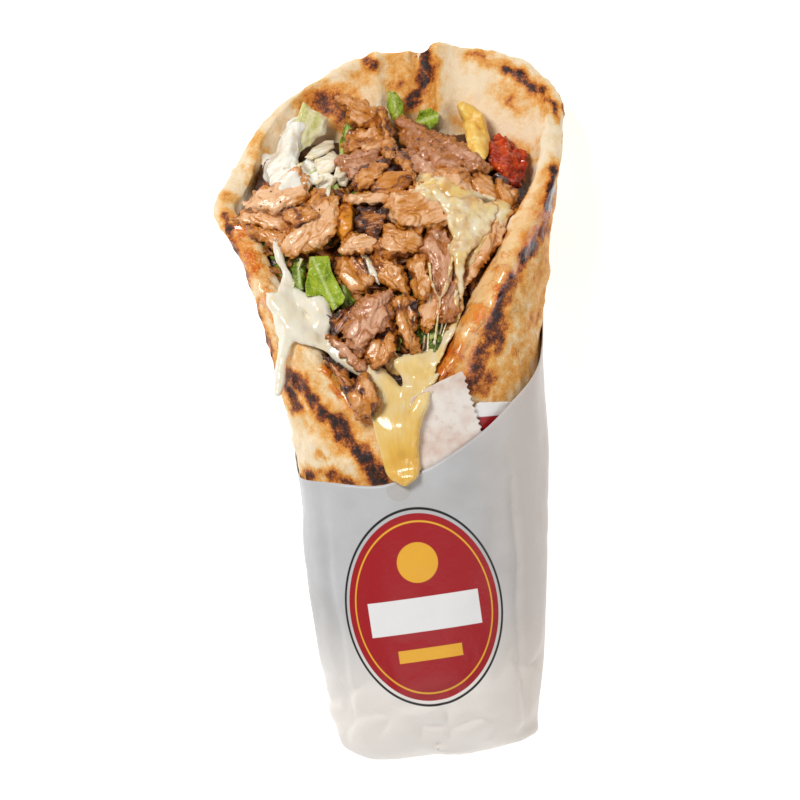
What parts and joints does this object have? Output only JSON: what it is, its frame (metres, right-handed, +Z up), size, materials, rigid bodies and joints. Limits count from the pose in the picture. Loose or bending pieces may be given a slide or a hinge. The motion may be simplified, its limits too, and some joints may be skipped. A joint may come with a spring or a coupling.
{
  "type": "cheese naan sandwich",
  "caption": "Naan bread rolled into a cone round chicken, melted cheese, lettuce and onion, in an open paper sleeve, lying on its back with its mouth up.",
  "frame": {"origin": "on the sleeve's flat underside, on the line down its middle, level with the sleeve's front edge", "axes": "+Y along the wrap from its closed end to its mouth, +Z up out of the filled mouth, +X to the right of the mouth as it is looked down on with the closed end nearest"},
  "size_m": [0.1279, 0.254, 0.0712],
  "materials": {
    "bread": "matte",
    "paper": "matte",
    "paper_flap": "matte",
    "printed_paper": "matte",
    "packed_chicken": "matte",
    "cheese": "gloss",
    "sauce": "gloss",
    "potato": "satin",
    "tomato": "gloss",
    "yellow_pepper": "satin",
    "onion": "satin",
    "chicken_pale": "satin",
    "chicken_browned": "satin",
    "chicken_dark": "satin",
    "lettuce": "satin"
  },
  "bodies": {
    "root": {"naan": "bread", "paper_sleeve": "paper", "sleeve_flap": "paper_flap", "sleeve_tab": "printed_paper", "chicken_core": "packed_chicken", "melted_cheese": "cheese", "white_sauce": "sauce", "potato_fry": "potato", "tomato_relish": "tomato", "golden_bit": "yellow_pepper", "onion_1": "onion", "onion_2": "onion", "onion_3": "onion", "onion_4": "onion", "onion_5": "onion", "onion_6": "onion", "chicken_1": "chicken_pale", "chicken_2": "chicken_browned", "chicken_3": "chicken_pale", "chicken_4": "chicken_pale", "chicken_5": "chicken_browned", "chicken_6": "chicken_pale", "chicken_7": "chicken_browned", "chicken_8": "chicken_pale", "chicken_9": "chicken_dark", "chicken_10": "chicken_browned", "chicken_11": "chicken_dark", "chicken_12": "chicken_pale", "chicken_13": "chicken_dark", "chicken_14": "chicken_pale", "chicken_15": "chicken_browned", "chicken_16": "chicken_pale", "chicken_17": "chicken_browned", "chicken_18": "chicken_browned", "chicken_19": "chicken_browned", "chicken_20": "chicken_browned", "chicken_21": "chicken_browned", "chicken_22": "chicken_pale", "chicken_23": "chicken_pale", "chicken_24": "chicken_pale", "chicken_25": "chicken_browned", "chicken_26": "chicken_browned", "chicken_27": "chicken_pale", "chicken_28": "chicken_pale", "chicken_29": "chicken_browned", "chicken_30": "chicken_pale", "chicken_31": "chicken_dark", "chicken_32": "chicken_browned", "chicken_33": "chicken_dark", "chicken_34": "chicken_dark", "chicken_35": "chicken_browned", "lettuce_1": "lettuce", "lettuce_2": "lettuce", "lettuce_3": "lettuce", "lettuce_4": "lettuce", "lettuce_5": "lettuce", "lettuce_6": "lettuce", "lettuce_7": "lettuce", "lettuce_8": "lettuce", "lettuce_9": "lettuce"}
  },
  "joints": []
}
